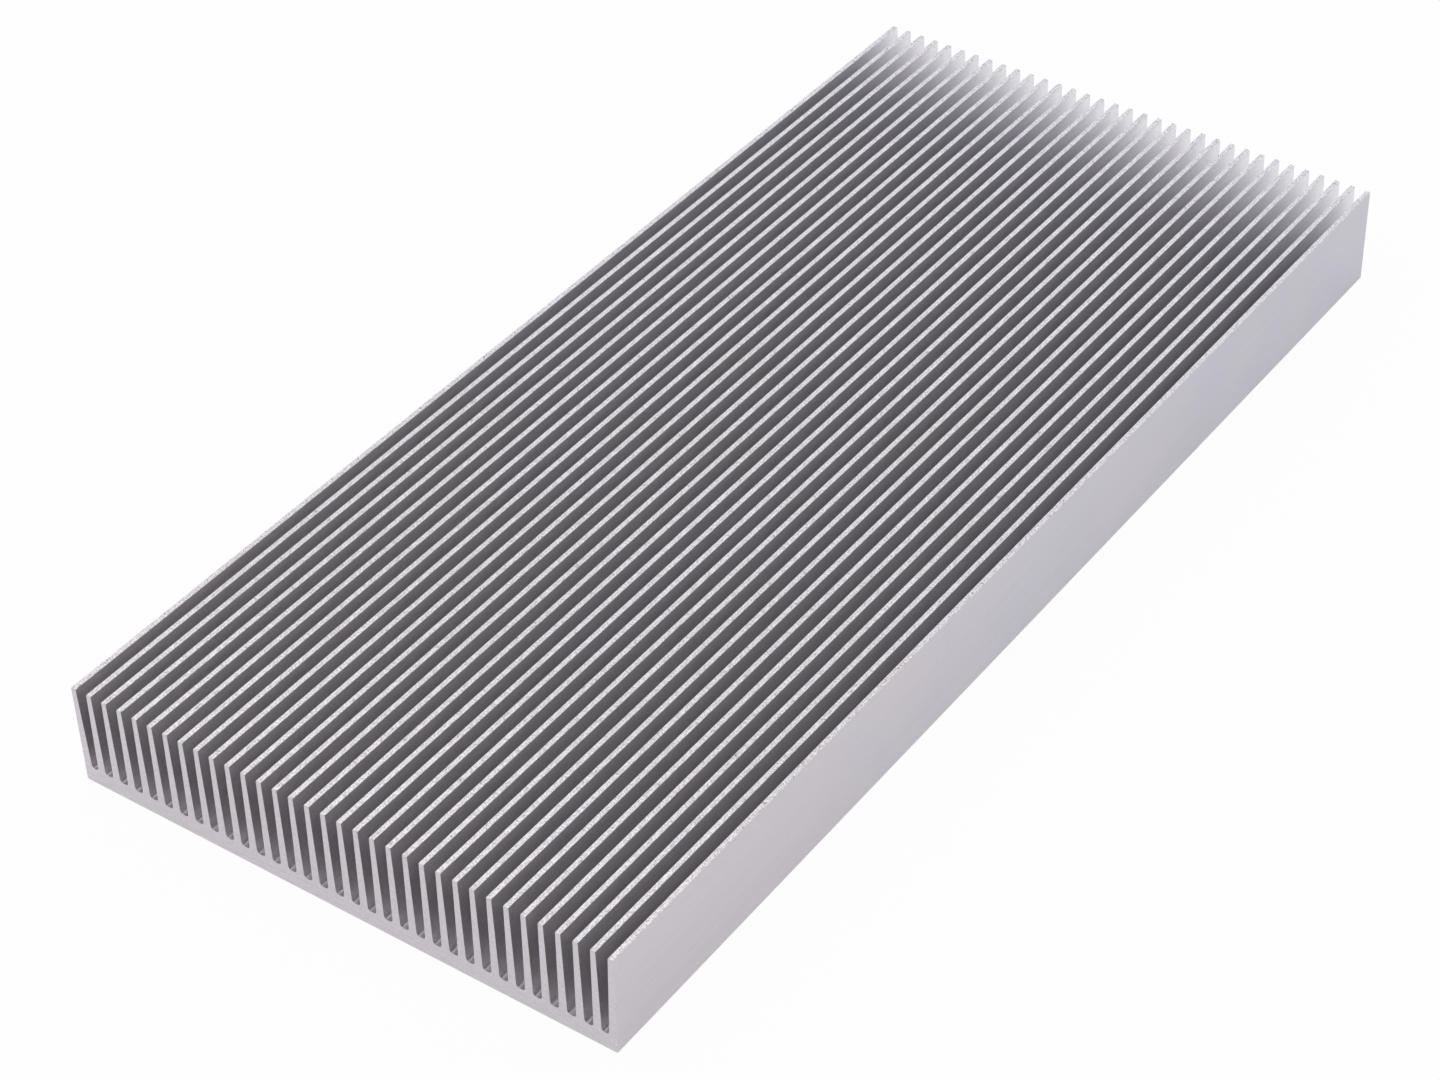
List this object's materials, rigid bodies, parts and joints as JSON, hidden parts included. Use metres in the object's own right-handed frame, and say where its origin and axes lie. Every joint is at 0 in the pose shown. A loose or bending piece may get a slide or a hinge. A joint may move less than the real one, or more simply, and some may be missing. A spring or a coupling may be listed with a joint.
{
  "type": "extruded heat sink",
  "caption": "Long flat aluminium bar with a solid base and straight, closely spaced tapered cooling fins on one face; its flat underside takes the heat from electronic parts.",
  "frame": {"origin": "middle of the flat underside", "axes": "+X across the fins, +Y along the fins, +Z from the underside up to the fin tips"},
  "size_m": [0.1346, 0.3, 0.025],
  "materials": {
    "aluminium": "plain mill finish as extruded, with saw-cut ends"
  },
  "bodies": {
    "root": {"heat_sink": "aluminium"}
  },
  "joints": []
}
